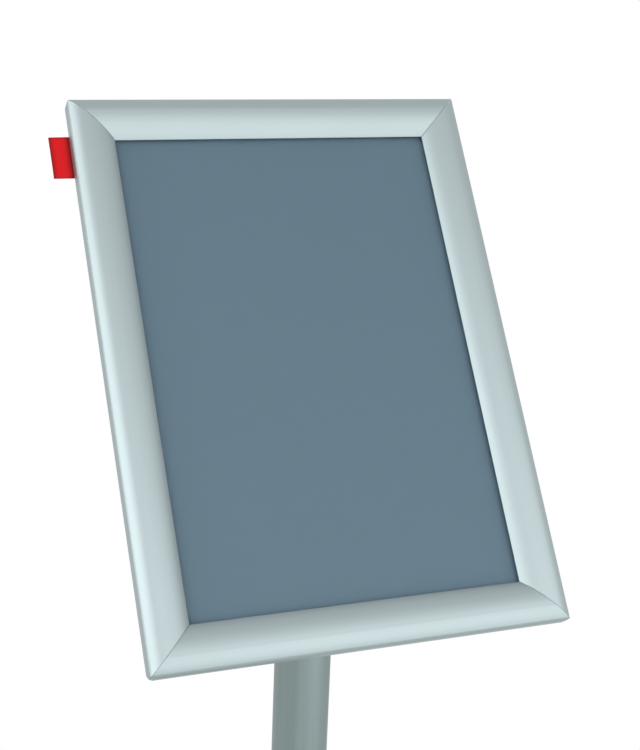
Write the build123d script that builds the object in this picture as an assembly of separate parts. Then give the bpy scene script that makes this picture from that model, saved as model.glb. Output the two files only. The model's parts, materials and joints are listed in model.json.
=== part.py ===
"""Information stand: an A4 snap frame on a round post with a heavy round foot.

Millimetres, +Z up, the front of the stand faces -Y. The origin is on the floor, on the
axis of the post. The frame is drawn flat, in its own coordinates (x to the right, y up
along the frame, z out of its front, 0 at its back), and then leaned back on the post.
A rail's section is drawn with the distance in from the frame's outer edge as x and the
height over the frame's back as y.
"""

import os
from math import asin, atan2, cos, degrees, radians, sin, sqrt

from build123d import *

# The paper that the frame holds, and the frame around it
paper_width = 210.0
paper_height = 297.0
rail_width = 25.0
paper_covered = 10.0
frame_width = paper_width + 2 * (rail_width - paper_covered)
frame_height = paper_height + 2 * (rail_width - paper_covered)
frame_corner_radius = 3.0
mitre_gap = 0.1
lean_back_degrees = 36.0

# Sheets that lie in the frame, from the back to the front
back_panel_thickness = 1.5
insert_thickness = 0.25
cover_sheet_thickness = 0.5
panel_side_gap = 0.35
cover_sheet_trim = 0.5

# Cover rail: a domed shell that turns on a round bead along its outer edge
cover_wall = 1.1
cover_height = 12.4
dome_peak_from_edge = 8.8
dome_outer_foot = 6.6
outer_shoulder_radius = 4.2
nose_height = 5.8
lip_set_back = 1.2
lip_over_sheet = 0.15
spring_ledge_reach = 1.5
spring_ledge_thickness = 0.8
spring_ledge_height = 6.2

# Hinge between a cover rail and its base rail
bead_radius = 1.15
hinge_clearance = 0.08
bead_short_of_corner = 2.6
bead_end_notch = 0.6
cradle_floor = 0.7
cradle_wrap_degrees = 45.0
hinge_from_edge = bead_radius
hinge_height = cradle_floor + hinge_clearance + bead_radius
cradle_radius = bead_radius + hinge_clearance
cradle_end_x = hinge_from_edge + cradle_radius * cos(radians(cradle_wrap_degrees))
cradle_end_y = hinge_height + cradle_radius * sin(radians(cradle_wrap_degrees))

# Corner keys, which lie in the base rails' channel
key_width = 8.4
key_thickness = 2.6
key_side_gap = 0.25
key_arm_length = 42.0
key_corner_radius = 2.0
key_screw_radius = 2.0
key_screw_from_end = 7.0
set_screw_gap = 0.03
socket_across_flats = 2.0

# Base rail: floor, two walls and the channel between them
rail_floor = 1.2
floor_short_of_cover = 1.5
outer_wall_thickness = 1.6
inner_wall_thickness = 1.1
channel_lip_thickness = 0.9
channel_lip_reach = 1.3
channel_lip_gap = 0.3
base_mitre_gap = 0.05
channel_start = cradle_end_x + outer_wall_thickness
channel_width = key_width + 2 * key_side_gap
channel_middle = channel_start + channel_width / 2
channel_end = channel_start + channel_width
rail_wall_top = rail_floor + key_thickness + channel_lip_gap + channel_lip_thickness
panel_bed_start = channel_end + inner_wall_thickness
stack_top = rail_floor + back_panel_thickness + insert_thickness + cover_sheet_thickness

# Snap springs: bent strips, two in each rail
spring_thickness = 0.4
spring_width = 14.0
spring_play = 0.1
springs_per_rail = 2
spring_corner_radius = 1.0

# Side tab: a folded ribbon fixed behind the left rail
tab_length = 25.5
tab_reach = 11.0
tab_hidden = 9.0
tab_thickness = 0.9
tab_below_top = 19.4

# Crossbar behind the frame, screwed into square nuts in the side rails' channels
crossbar_height = 64.0
crossbar_thickness = 2.5
crossbar_short_of_edge = 2.0
crossbar_corner_radius = 5.0
screw_spacing = 40.0
screw_radius = 2.0
screw_hole_radius = 2.25
screw_head_radius = 4.0
screw_head_height = 2.4
square_nut_width = 7.0
square_nut_thickness = 2.2
nut_bore_gap = 0.03

# Swivel between the crossbar and the tilt bracket
pivot_radius = 4.0
pivot_clearance = 0.05
pivot_head_radius = 7.0
pivot_head_thickness = 1.2
friction_disc_radius = 15.0
friction_disc_thickness = 1.0
bracket_thickness = 3.0
seat_gap = 0.05
flat_washer_radius = 10.0
flat_washer_thickness = 1.6
lock_nut_across_flats = 13.0
lock_nut_height = 8.0
lock_nut_collar_height = 2.0
lock_nut_collar_radius = 5.8
thread_past_nut = 1.5
stop_pin_radius = 2.5
stop_pin_seat_gap = 0.02
stop_pin_from_pivot = 21.0
stop_pin_past_plate = 1.5
stop_slot_clearance = 0.3
swivel_degrees = 90.0
stop_pin_start_degrees = 45.0

# Tilt bracket and the tongue that it turns on
pivot_behind_frame = 25.0
pivot_below_centre = 38.0
bracket_plate_width = 62.0
bracket_plate_height = 62.0
bracket_plate_radius = 8.0
ear_radius = 11.0
tongue_thickness = 14.0
tongue_radius = 12.0
tilt_bolt_radius = 4.0
tilt_bolt_clearance = 0.05
tilt_washer_radius = 10.5
tilt_washer_thickness = 1.0
bolt_head_radius = 6.5
bolt_head_height = 8.0
bolt_socket_across_flats = 6.0
bolt_socket_depth = 4.0
head_chamfer = 0.8
cap_edge_round = 1.0

# Post and its two plugs
post_radius = 16.85
post_wall = 2.0
tilt_axis_height = 1000.0
post_top_below_axis = 18.0
cap_thickness = 3.0
top_plug_depth = 50.0
foot_plug_depth = 45.0
plug_gap = 0.05
plug_screw_spacing = 22.0
plug_screw_from_end = 14.0
plug_screw_head_radius = 3.4
plug_screw_head_height = 1.6
plug_screw_length = 9.0
plug_screw_radius = 1.9

# Foot
foot_radius = 160.0
foot_thickness = 8.0
foot_edge_round = 3.5
pad_radius = 11.0
pad_thickness = 3.0
pad_circle_radius = 143.0
pad_count = 6
foot_bolt_radius = 5.0
foot_bolt_hole_radius = 5.5
foot_bolt_head_radius = 8.0
foot_bolt_head_height = 3.2
foot_bolt_socket = 5.0
foot_bolt_socket_depth = 2.0
foot_washer_radius = 12.0
foot_washer_thickness = 1.5
foot_counterbore_radius = 12.6
foot_bolt_grip = 28.0
collar_base_radius = 32.0
collar_top_radius = 20.5
collar_height = 14.0
collar_clearance = 0.2

# Places that follow from the sizes above
lean = radians(lean_back_degrees)
foot_top = pad_thickness + foot_thickness
post_top = tilt_axis_height - post_top_below_axis
frame_place = Location(
    (
        0,
        pivot_below_centre * sin(lean) - pivot_behind_frame * cos(lean),
        tilt_axis_height + pivot_below_centre * cos(lean) + pivot_behind_frame * sin(lean),
    ),
    (90 - lean_back_degrees, 0, 0),
)
side_places = {
    "bottom": (Location((0, -frame_height / 2, 0)), frame_width),
    "top": (Location((0, frame_height / 2, 0), (0, 0, 180)), frame_width),
    "left": (Location((-frame_width / 2, 0, 0), (0, 0, -90)), frame_height),
    "right": (Location((frame_width / 2, 0, 0), (0, 0, 90)), frame_height),
}
bracket_front = -crossbar_thickness - friction_disc_thickness - 2 * seat_gap
bracket_back = bracket_front - bracket_thickness
ear_inside = tongue_thickness / 2 + tilt_washer_thickness + 2 * seat_gap


def block(x_from, x_to, y_from, y_to):
    """Rectangle between two corners, as a sketch."""
    return Pos((x_from + x_to) / 2, (y_from + y_to) / 2) * Rectangle(x_to - x_from, y_to - y_from)


def outer_shoulder():
    """The dome's outer side: a tight arc out of the outer wall, then a wide one up to the peak."""
    run = dome_peak_from_edge - outer_shoulder_radius
    rise = cover_height - dome_outer_foot
    crown_radius = (run**2 + rise**2 - outer_shoulder_radius**2) / (2 * (rise - outer_shoulder_radius))
    meeting = degrees(atan2(crown_radius - rise, run))
    foot_centre = (outer_shoulder_radius, dome_outer_foot)
    crown_centre = (dome_peak_from_edge, cover_height - crown_radius)
    faces = []
    for centre, radius, start, sweep in (
        (foot_centre, outer_shoulder_radius, 180, -meeting),
        (crown_centre, crown_radius, 180 - meeting, meeting - 90),
    ):
        outer = CenterArc(centre, radius, start, sweep)
        inner = CenterArc(centre, radius - cover_wall, start, sweep)
        faces.append(make_face([outer, inner, Line(outer @ 0, inner @ 0), Line(outer @ 1, inner @ 1)]))
    return faces


def inner_slope():
    """The dome's inner side: one wide arc from the peak to a round nose, and the lip behind it."""
    half_wall = cover_wall / 2
    run = rail_width - half_wall - dome_peak_from_edge
    drop = cover_height - half_wall - nose_height
    middle_radius = (run**2 + drop**2) / (2 * drop)
    centre_height = cover_height - half_wall - middle_radius
    centre = (dome_peak_from_edge, centre_height)
    fall = degrees(asin(run / middle_radius))
    outer = CenterArc(centre, middle_radius + half_wall, 90, -fall)
    inner = CenterArc(centre, middle_radius - half_wall, 90, -fall)
    nose = CenterArc((rail_width - half_wall, nose_height), half_wall, 90 - fall, -180)
    lip_end = rail_width - lip_set_back
    lip_reach = lip_end - dome_peak_from_edge
    lip_top = centre_height + sqrt((middle_radius + half_wall / 2) ** 2 - lip_reach**2)
    return [
        make_face([outer, inner, nose, Line(outer @ 0, inner @ 0)]),
        block(lip_end - cover_wall, lip_end, stack_top + lip_over_sheet, lip_top),
    ]


def rail(section, length, gap):
    """Bar along x with its ends mitred towards the frame's corners."""
    depth = rail_width + 1
    long_half = length / 2 - gap + 1
    short_half = length / 2 - gap - depth
    outline = Polyline(
        (-long_half, -1), (long_half, -1), (short_half, depth), (-short_half, depth), close=True
    )
    mitres = Pos(0, 0, -1) * extrude(make_face(outline), cover_height + 2)
    return extrude(Plane.YZ * section, length / 2, both=True) & mitres


def cover_section():
    """Section of a cover rail: bead, outer wall, dome, inner lip and spring ledge."""
    section = Pos(hinge_from_edge, hinge_height) * Circle(bead_radius)
    section += block(0, cover_wall, hinge_height, dome_outer_foot)
    section += outer_shoulder()
    section += inner_slope()
    section += block(
        cover_wall / 2,
        cover_wall + spring_ledge_reach,
        spring_ledge_height,
        spring_ledge_height + spring_ledge_thickness,
    )
    return section


def cover_rail(place, length):
    """Cover rail for one side, with rounded outer corners and its bead short of the mitres."""
    round_from = length / 2 - frame_corner_radius
    square = block(round_from, length / 2 + 1, -1, frame_corner_radius)
    corner = square - Pos(round_from, frame_corner_radius) * Circle(frame_corner_radius)
    rounding = extrude(corner, cover_height + 1)
    bead_top = hinge_height + bead_end_notch
    notch = Pos(length / 2, 0, 0) * Box(2 * bead_short_of_corner, 4 * bead_radius + 1, 2 * bead_top)
    body = rail(cover_section(), length, mitre_gap)
    for cut in (rounding, notch):
        body -= cut
        body -= mirror(cut, Plane.YZ)
    return place * body


def base_section():
    """Section of a base rail: hinge cradle, key channel with its lips, and the sheets' bed."""
    lip_bottom = rail_wall_top - channel_lip_thickness
    section = block(hinge_from_edge, rail_width - floor_short_of_cover, 0, rail_floor)
    section += block(hinge_from_edge, channel_start, 0, rail_wall_top)
    section += block(channel_start, channel_start + channel_lip_reach, lip_bottom, rail_wall_top)
    section += block(channel_end, panel_bed_start, 0, rail_wall_top)
    section += block(channel_end - channel_lip_reach, channel_end, lip_bottom, rail_wall_top)
    section -= Pos(hinge_from_edge, hinge_height) * Circle(cradle_radius)
    section -= block(0, hinge_from_edge + hinge_clearance, cradle_floor, hinge_height)
    section -= block(0, cradle_end_x, cradle_end_y, rail_wall_top + 1)
    section -= block(0, hinge_from_edge, hinge_height, rail_wall_top + 1)
    return section


def base_rail(place, length, side):
    """Base rail for one side. The upright ones are drilled for the crossbar's screws."""
    body = rail(base_section(), length, base_mitre_gap)
    if side in ("left", "right"):
        for x in (-screw_spacing / 2, screw_spacing / 2):
            body -= Pos(x, channel_middle, rail_floor / 2) * Cylinder(screw_hole_radius, 2 * rail_floor)
    return place * body


def key_screw_points():
    """Where the set screws stand, in each corner key, from the frame's centre."""
    along = channel_start + key_side_gap + key_arm_length - key_screw_from_end
    across = channel_middle
    half_width, half_height = frame_width / 2, frame_height / 2
    points = []
    for x_side in (-1, 1):
        for y_side in (-1, 1):
            points.append((x_side * (half_width - along), y_side * (half_height - across)))
            points.append((x_side * (half_width - across), y_side * (half_height - along)))
    return points


def corner_keys():
    """Four flat L-shaped keys that join the base rails at the mitres."""
    start = channel_start + key_side_gap
    end = start + key_arm_length
    arms = block(start, end, start, start + key_width) + block(start, start + key_width, start, end)
    outer_corner = arms.vertices().sort_by_distance((start, start))[0]
    key = extrude(fillet(outer_corner, key_corner_radius), key_thickness)
    keys = []
    for x_side, y_side, turn in ((-1, -1, 0), (1, -1, 90), (1, 1, 180), (-1, 1, 270)):
        corner = Location((x_side * frame_width / 2, y_side * frame_height / 2, rail_floor), (0, 0, turn))
        keys.append(corner * key)
    bore = Cylinder(key_screw_radius, key_thickness, align=(Align.CENTER, Align.CENTER, Align.MIN))
    holes = [Pos(x, y, rail_floor) * bore for x, y in key_screw_points()]
    return Compound([key - holes for key in keys])


def key_screws():
    """Set screws with hexagon sockets that lock the keys in the channels."""
    blank = Cylinder(
        key_screw_radius - set_screw_gap, key_thickness, align=(Align.CENTER, Align.CENTER, Align.MIN)
    )
    socket = extrude(RegularPolygon(socket_across_flats / 2, 6, major_radius=False), key_thickness)
    screw = blank - Pos(0, 0, key_thickness / 2) * socket
    return Compound([Pos(x, y, rail_floor) * screw for x, y in key_screw_points()])


def snap_springs(place, length):
    """Bent strips: a foot in the channel, a riser past its lip, and an end on the cover's ledge."""
    half = spring_thickness / 2
    foot_y = rail_floor + half
    riser_x = channel_start + channel_lip_reach + half + spring_play
    over_y = spring_ledge_height + spring_ledge_thickness + half + spring_play
    end_x = cover_wall + spring_ledge_reach / 3
    path = FilletPolyline(
        (channel_end - channel_lip_reach, foot_y),
        (riser_x, foot_y),
        (riser_x, over_y + spring_corner_radius),
        (end_x + 2 * spring_corner_radius, over_y + spring_corner_radius / 2),
        (end_x, over_y),
        radius=spring_corner_radius,
    )
    strip = trace(path, spring_thickness)
    spring = extrude(Plane.YZ * strip, spring_width / 2, both=True)
    pitch = length / springs_per_rail
    first = -length / 2 + pitch / 2
    return Compound([place * Pos(first + i * pitch, 0, 0) * spring for i in range(springs_per_rail)])


def sheet(width, height, bottom, thickness):
    """Flat sheet in the middle of the frame, with its back at the height given."""
    return Pos(0, 0, bottom + thickness / 2) * Box(width, height, thickness)


def back_panel():
    """Stiff backing that lies on the base rails' floors, between their inner walls."""
    inset = 2 * (panel_bed_start + panel_side_gap)
    return sheet(frame_width - inset, frame_height - inset, rail_floor, back_panel_thickness)


def insert_sheet():
    """Plain printed card of the paper's size."""
    return sheet(paper_width, paper_height, rail_floor + back_panel_thickness, insert_thickness)


def cover_sheet():
    """Clear sheet over the card."""
    bottom = rail_floor + back_panel_thickness + insert_thickness
    return sheet(
        paper_width + cover_sheet_trim, paper_height + cover_sheet_trim, bottom, cover_sheet_thickness
    )


def side_tab():
    """Ribbon folded over on itself, its fold outwards, fixed to the back of the left rail."""
    outer = -frame_width / 2 - tab_reach
    inner = -frame_width / 2 + tab_hidden
    section = block(outer + tab_thickness / 2, inner, -tab_thickness, 0)
    section += Pos(outer + tab_thickness / 2, -tab_thickness / 2) * Circle(tab_thickness / 2)
    middle = frame_height / 2 - tab_below_top - tab_length / 2
    return Pos(0, middle, 0) * extrude(Plane.XZ * section, tab_length / 2, both=True)


def crossbar_screw_points():
    """Where the crossbar's screws stand, seen on the frame."""
    x = frame_width / 2 - channel_middle
    y = screw_spacing / 2
    return [(-x, -y), (-x, y), (x, -y), (x, y)]


def stop_pin_point():
    """Place of the stop pin on the crossbar."""
    angle = radians(stop_pin_start_degrees)
    return (stop_pin_from_pivot * cos(angle), stop_pin_from_pivot * sin(angle))


def crossbar():
    """Flat bar across the frame's back that carries the swivel's stud and stop pin."""
    bar_length = frame_width - 2 * crossbar_short_of_edge
    bar = RectangleRounded(bar_length, crossbar_height, crossbar_corner_radius)
    body = Pos(0, 0, -crossbar_thickness) * extrude(bar, crossbar_thickness)
    through = 2 * crossbar_thickness
    for x, y in crossbar_screw_points():
        body -= Pos(x, y, -crossbar_thickness / 2) * Cylinder(screw_hole_radius, through)
    body -= Pos(0, 0, -crossbar_thickness / 2) * Cylinder(pivot_radius, through)
    body -= Pos(0, 0, -pivot_head_thickness / 2) * Cylinder(pivot_head_radius, pivot_head_thickness)
    pin_x, pin_y = stop_pin_point()
    pin_hole = Cylinder(stop_pin_radius + stop_pin_seat_gap, through)
    body -= Pos(pin_x, pin_y, -crossbar_thickness / 2) * pin_hole
    return body


def downwards(radius, length):
    """Round bar that hangs from the origin."""
    return Cylinder(radius, length, align=(Align.CENTER, Align.CENTER, Align.MAX))


def crossbar_screws():
    """Pan-head screws through the crossbar and the base rails' floors."""
    reach = crossbar_thickness + rail_floor + square_nut_thickness
    head = Pos(0, 0, -crossbar_thickness) * downwards(screw_head_radius, screw_head_height)
    head = chamfer(head.edges().sort_by(Axis.Z)[0], head_chamfer)
    hexagon = RegularPolygon(socket_across_flats * 0.7, 6, major_radius=False)
    recess = extrude(hexagon, screw_head_height / 2)
    head -= Pos(0, 0, -crossbar_thickness - screw_head_height) * recess
    screw = head + Pos(0, 0, reach - crossbar_thickness) * downwards(screw_radius, reach)
    return Compound([Pos(x, y, 0) * screw for x, y in crossbar_screw_points()])


def crossbar_nuts():
    """Square nuts that lie in the side rails' channels."""
    nut = Pos(0, 0, rail_floor + square_nut_thickness / 2) * (
        Box(square_nut_width, square_nut_width, square_nut_thickness)
        - Cylinder(screw_radius + nut_bore_gap, square_nut_thickness)
    )
    return Compound([Pos(x, y, 0) * nut for x, y in crossbar_screw_points()])


def pivot_stud():
    """Flush-headed stud pressed into the crossbar, on which the frame swivels."""
    stack = -bracket_back + seat_gap + flat_washer_thickness + lock_nut_height + thread_past_nut
    return downwards(pivot_head_radius, pivot_head_thickness) + downwards(pivot_radius, stack)


def stop_pin():
    """Pin pressed into the crossbar that stops the swivel at the ends of the bracket's slot."""
    x, y = stop_pin_point()
    return Pos(x, y, 0) * downwards(stop_pin_radius, -bracket_back + stop_pin_past_plate)


def ring(outer_radius, inner_radius, thickness):
    """Flat washer that hangs from the origin."""
    return downwards(outer_radius, thickness) - downwards(inner_radius, thickness)


def lock_nut(bore_radius):
    """Hexagon nut with a round locking collar, its face at the origin and its collar below."""
    hexagon = extrude(RegularPolygon(lock_nut_across_flats / 2, 6, major_radius=False), lock_nut_height)
    flats = lock_nut_height - lock_nut_collar_height
    body = Pos(0, 0, -lock_nut_height) * hexagon
    body -= Pos(0, 0, -flats) * ring(lock_nut_across_flats, lock_nut_collar_radius, lock_nut_collar_height)
    return body - downwards(bore_radius + nut_bore_gap, lock_nut_height)


def swivel_washers():
    """Friction disc in front of the bracket's plate and flat washer behind it."""
    bore = pivot_radius + nut_bore_gap
    friction_disc = ring(friction_disc_radius, bore, friction_disc_thickness)
    disc = Pos(0, 0, -crossbar_thickness - seat_gap) * friction_disc
    washer = Pos(0, 0, bracket_back - seat_gap) * ring(flat_washer_radius, bore, flat_washer_thickness)
    return Compound([disc, washer])


def swivel_nut():
    """Lock nut on the pivot stud."""
    return Pos(0, 0, bracket_back - seat_gap - flat_washer_thickness) * lock_nut(pivot_radius)


def ear(x_from, x_to):
    """Side cheek of the tilt bracket, from its plate back round the tilt axis."""
    root_top = -bracket_plate_height / 2 + bracket_plate_radius
    root_bottom = -pivot_below_centre - ear_radius
    root = block(root_bottom, root_top, bracket_back, bracket_front)
    tip = Pos(-pivot_below_centre, -pivot_behind_frame) * Circle(ear_radius)
    cheek = make_hull((root + tip).edges())
    return extrude(Plane.YZ.offset(x_from) * cheek, x_to - x_from)


def tilt_bracket():
    """Bent steel bracket: a plate with the swivel's hole and curved slot, and two ears."""
    plate = RectangleRounded(bracket_plate_width, bracket_plate_height, bracket_plate_radius)
    tab_top = -bracket_plate_height / 2 + bracket_plate_radius
    outside = ear_inside + bracket_thickness
    plate += block(-outside, outside, -pivot_below_centre - ear_radius, tab_top)
    plate -= Circle(pivot_radius + pivot_clearance)
    slot_arc = CenterArc((0, 0), stop_pin_from_pivot, stop_pin_start_degrees, swivel_degrees)
    plate -= SlotArc(slot_arc, 2 * (stop_pin_radius + stop_slot_clearance))
    body = Pos(0, 0, bracket_back) * extrude(plate, bracket_thickness)
    body += ear(ear_inside, outside) + ear(-outside, -ear_inside)
    axle = Rot(0, 90, 0) * Cylinder(tilt_bolt_radius + tilt_bolt_clearance, 3 * outside)
    return body - Pos(0, -pivot_below_centre, -pivot_behind_frame) * axle


def on_tilt_axis(shape, x):
    """Turns a shape that hangs below the origin so that it points to +x, from the place given."""
    return Pos(x, -pivot_below_centre, -pivot_behind_frame) * Rot(0, -90, 0) * shape


def tilt_bolt():
    """Socket-head bolt through both ears and the tongue."""
    outside = ear_inside + bracket_thickness
    grip = 2 * outside + 2 * flat_washer_thickness + lock_nut_height + thread_past_nut
    head = downwards(bolt_head_radius, bolt_head_height)
    head = chamfer(head.edges().sort_by(Axis.Z)[0], head_chamfer)
    socket = extrude(RegularPolygon(bolt_socket_across_flats / 2, 6, major_radius=False), bolt_socket_depth)
    head -= Pos(0, 0, -bolt_head_height) * socket
    shank = Cylinder(tilt_bolt_radius, grip, align=(Align.CENTER, Align.CENTER, Align.MIN))
    return on_tilt_axis(head + shank, outside + flat_washer_thickness)


def tilt_washers():
    """Friction washers beside the tongue and flat washers outside the ears."""
    bore = tilt_bolt_radius + nut_bore_gap
    friction = ring(tilt_washer_radius, bore, tilt_washer_thickness)
    flat = ring(flat_washer_radius, bore, flat_washer_thickness)
    outside = ear_inside + bracket_thickness
    inner = tongue_thickness / 2 + seat_gap
    return Compound(
        [
            on_tilt_axis(friction, inner),
            on_tilt_axis(friction, -inner - tilt_washer_thickness),
            on_tilt_axis(flat, outside),
            on_tilt_axis(flat, -outside - flat_washer_thickness),
        ]
    )


def tilt_nut():
    """Lock nut on the tilt bolt."""
    outside = ear_inside + bracket_thickness
    nut = Rot(180, 0, 0) * lock_nut(tilt_bolt_radius)
    return on_tilt_axis(nut, -outside - flat_washer_thickness)


def plug_screw_heights():
    """Heights of the screws that hold the two plugs in the post."""
    high = post_top - plug_screw_from_end
    low = foot_top + collar_height + plug_screw_from_end
    return [high, high - plug_screw_spacing, low]


def plug_screw_holes(radius):
    """Drilled holes for the plugs' screws, from the back of the post inwards."""
    drill = Rot(90, 0, 0) * downwards(radius, plug_screw_length)
    return [Pos(0, post_radius, z) * Rot(180, 0, 0) * drill for z in plug_screw_heights()]


def post_tube():
    """Round tube between the foot plate and the post head."""
    length = post_top - foot_top
    tube = Cylinder(post_radius, length) - Cylinder(post_radius - post_wall, length)
    holes = plug_screw_holes(plug_screw_radius + plug_gap)
    return Pos(0, 0, foot_top + length / 2) * tube - holes


def post_head():
    """Plug in the top of the tube with a cap and the rounded tongue that carries the bracket."""
    plug_radius = post_radius - post_wall - plug_gap
    body = Pos(0, 0, post_top) * downwards(plug_radius, top_plug_depth)
    cap = Pos(0, 0, post_top + cap_thickness) * downwards(post_radius, cap_thickness)
    body += fillet(cap.edges().sort_by(Axis.Z)[-1], cap_edge_round)
    cap_top = post_top + cap_thickness
    profile = block(-tongue_radius, tongue_radius, cap_top, tilt_axis_height)
    profile += Pos(0, tilt_axis_height) * Circle(tongue_radius)
    body += extrude(Plane.YZ * profile, tongue_thickness / 2, both=True)
    bore = Rot(0, 90, 0) * Cylinder(tilt_bolt_radius + tilt_bolt_clearance, 2 * tongue_thickness)
    return body - Pos(0, 0, tilt_axis_height) * bore - plug_screw_holes(plug_screw_radius + plug_gap)


def plug_screws():
    """Small screws through the back of the tube into the plugs."""
    shank = downwards(plug_screw_radius, plug_screw_length)
    standing = (Align.CENTER, Align.CENTER, Align.MIN)
    head = Cylinder(plug_screw_head_radius, plug_screw_head_height, align=standing)
    head = chamfer(head.edges().sort_by(Axis.Z)[-1], head_chamfer)
    screw = Rot(-90, 0, 0) * (shank + head)
    return Compound([Pos(0, post_radius, z) * screw for z in plug_screw_heights()])


def foot_plug():
    """Plug in the bottom of the tube, threaded for the foot's bolt."""
    plug_radius = post_radius - post_wall - plug_gap
    body = Cylinder(plug_radius, foot_plug_depth, align=(Align.CENTER, Align.CENTER, Align.MIN))
    body -= Cylinder(
        foot_bolt_radius + nut_bore_gap, foot_plug_depth, align=(Align.CENTER, Align.CENTER, Align.MIN)
    )
    return Pos(0, 0, foot_top) * body - plug_screw_holes(plug_screw_radius + plug_gap)


def foot_plate():
    """Heavy round steel foot with a counterbore below for the bolt."""
    plate = Pos(0, 0, pad_thickness) * Cylinder(
        foot_radius, foot_thickness, align=(Align.CENTER, Align.CENTER, Align.MIN)
    )
    plate = fillet(plate.edges().sort_by(Axis.Z)[-1], foot_edge_round)
    counterbore_depth = foot_washer_thickness + foot_bolt_head_height
    plate -= Cylinder(foot_bolt_hole_radius, 4 * foot_thickness)
    return plate - Pos(0, 0, pad_thickness + counterbore_depth) * downwards(
        foot_counterbore_radius, counterbore_depth
    )


def foot_washer():
    """Washer between the bolt's head and the foot plate."""
    top = pad_thickness + foot_bolt_head_height + foot_washer_thickness
    return Pos(0, 0, top) * ring(foot_washer_radius, foot_bolt_radius + nut_bore_gap, foot_washer_thickness)


def foot_bolt():
    """Low-headed bolt from below the foot up into the foot plug."""
    head = Cylinder(
        foot_bolt_head_radius, foot_bolt_head_height, align=(Align.CENTER, Align.CENTER, Align.MIN)
    )
    head -= extrude(RegularPolygon(foot_bolt_socket / 2, 6, major_radius=False), foot_bolt_socket_depth)
    shank = Cylinder(foot_bolt_radius, foot_bolt_grip, align=(Align.CENTER, Align.CENTER, Align.MIN))
    return Pos(0, 0, pad_thickness) * (head + Pos(0, 0, foot_bolt_head_height) * shank)


def foot_pads():
    """Rubber pads under the foot plate."""
    pad = Cylinder(pad_radius, pad_thickness, align=(Align.CENTER, Align.CENTER, Align.MIN))
    return Compound([place * pad for place in PolarLocations(pad_circle_radius, pad_count)])


def foot_collar():
    """Turned collar that covers the joint between post and foot."""
    inner = post_radius + collar_clearance
    flare = Line((inner, 0), (collar_base_radius, 0)) + Line((collar_base_radius, 0), (collar_base_radius, 2))
    shoulder = RadiusArc((collar_base_radius, 2), (collar_top_radius, collar_height), collar_height * 1.6)
    top = Line((collar_top_radius, collar_height), (inner, collar_height)) + Line(
        (inner, collar_height), (inner, 0)
    )
    section = make_face([*flare.edges(), shoulder, *top.edges()])
    return Pos(0, 0, foot_top) * revolve(Plane.XZ * section, Axis.Z)


def stand_pieces():
    """Everything that stays still: foot and post."""
    return {
        "foot_plate": foot_plate(),
        "foot_pads": foot_pads(),
        "foot_bolt": foot_bolt(),
        "foot_washer": foot_washer(),
        "foot_collar": foot_collar(),
        "foot_plug": foot_plug(),
        "post_tube": post_tube(),
        "post_head": post_head(),
        "plug_screws": plug_screws(),
    }


def leaning_pieces():
    """Everything drawn on the frame's own plane: bracket, swivel, frame and its rails."""
    pieces = {
        "tilt_bracket": tilt_bracket(),
        "tilt_bolt": tilt_bolt(),
        "tilt_washers": tilt_washers(),
        "tilt_nut": tilt_nut(),
        "pivot_stud": pivot_stud(),
        "stop_pin": stop_pin(),
        "swivel_washers": swivel_washers(),
        "swivel_nut": swivel_nut(),
        "crossbar": crossbar(),
        "crossbar_screws": crossbar_screws(),
        "crossbar_nuts": crossbar_nuts(),
        "corner_keys": corner_keys(),
        "key_screws": key_screws(),
        "back_panel": back_panel(),
        "insert_sheet": insert_sheet(),
        "cover_sheet": cover_sheet(),
        "side_tab": side_tab(),
    }
    for side, (place, length) in side_places.items():
        pieces[f"base_rail_{side}"] = base_rail(place, length, side)
        pieces[f"snap_springs_{side}"] = snap_springs(place, length)
        pieces[f"cover_rail_{side}"] = cover_rail(place, length)
    return pieces


def main():
    os.makedirs("parts", exist_ok=True)
    for name, shape in stand_pieces().items():
        export_step(shape, f"parts/{name}.step")
    for name, shape in leaning_pieces().items():
        export_step(frame_place * shape, f"parts/{name}.step")


main()
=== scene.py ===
"""Information stand with a leaning snap frame: finishes, ribbon tab, bolt threads, light and camera.

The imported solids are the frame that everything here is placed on. Lengths are metres. The stand
faces -Y, and the snap frame on its post leans back, so FRAME_TURN turns the snap frame's own
directions (across, up along it, out of its front) into the stand's.
"""

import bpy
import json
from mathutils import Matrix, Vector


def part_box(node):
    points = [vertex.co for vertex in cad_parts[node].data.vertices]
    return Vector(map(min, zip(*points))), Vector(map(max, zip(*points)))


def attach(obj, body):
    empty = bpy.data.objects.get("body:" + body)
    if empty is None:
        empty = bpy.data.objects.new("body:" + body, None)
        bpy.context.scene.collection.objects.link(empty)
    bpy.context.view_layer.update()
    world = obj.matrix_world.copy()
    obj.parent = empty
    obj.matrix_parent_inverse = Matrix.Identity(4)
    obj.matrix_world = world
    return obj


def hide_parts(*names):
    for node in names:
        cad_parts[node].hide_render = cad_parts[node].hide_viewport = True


bl_info = {
    "name": "Snap Frame Stand",
    "version": (1, 0, 0),
    "blender": (4, 5, 0),
    "location": "View3D > Sidebar > Snap Frame",
    "description": "Finishes a floor stand with a leaning snap frame and lights it for a product picture",
    "category": "Object",
}

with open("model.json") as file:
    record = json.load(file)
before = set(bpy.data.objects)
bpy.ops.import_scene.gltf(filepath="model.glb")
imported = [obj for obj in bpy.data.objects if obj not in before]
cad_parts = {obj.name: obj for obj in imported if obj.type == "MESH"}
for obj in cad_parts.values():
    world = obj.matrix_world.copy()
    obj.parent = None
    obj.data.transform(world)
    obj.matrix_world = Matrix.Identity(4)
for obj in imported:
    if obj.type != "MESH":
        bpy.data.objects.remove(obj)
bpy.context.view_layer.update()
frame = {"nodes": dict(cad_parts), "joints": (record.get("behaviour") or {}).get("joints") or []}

import json
import math

import bmesh
import bpy
from bpy.props import FloatProperty, FloatVectorProperty, IntProperty, PointerProperty
from mathutils import Matrix, Vector

SIDES = ("top", "bottom", "left", "right")
MM = 0.001
BLACK = (0, 0, 0, 1)
WHITE = (1, 1, 1, 1)


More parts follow.
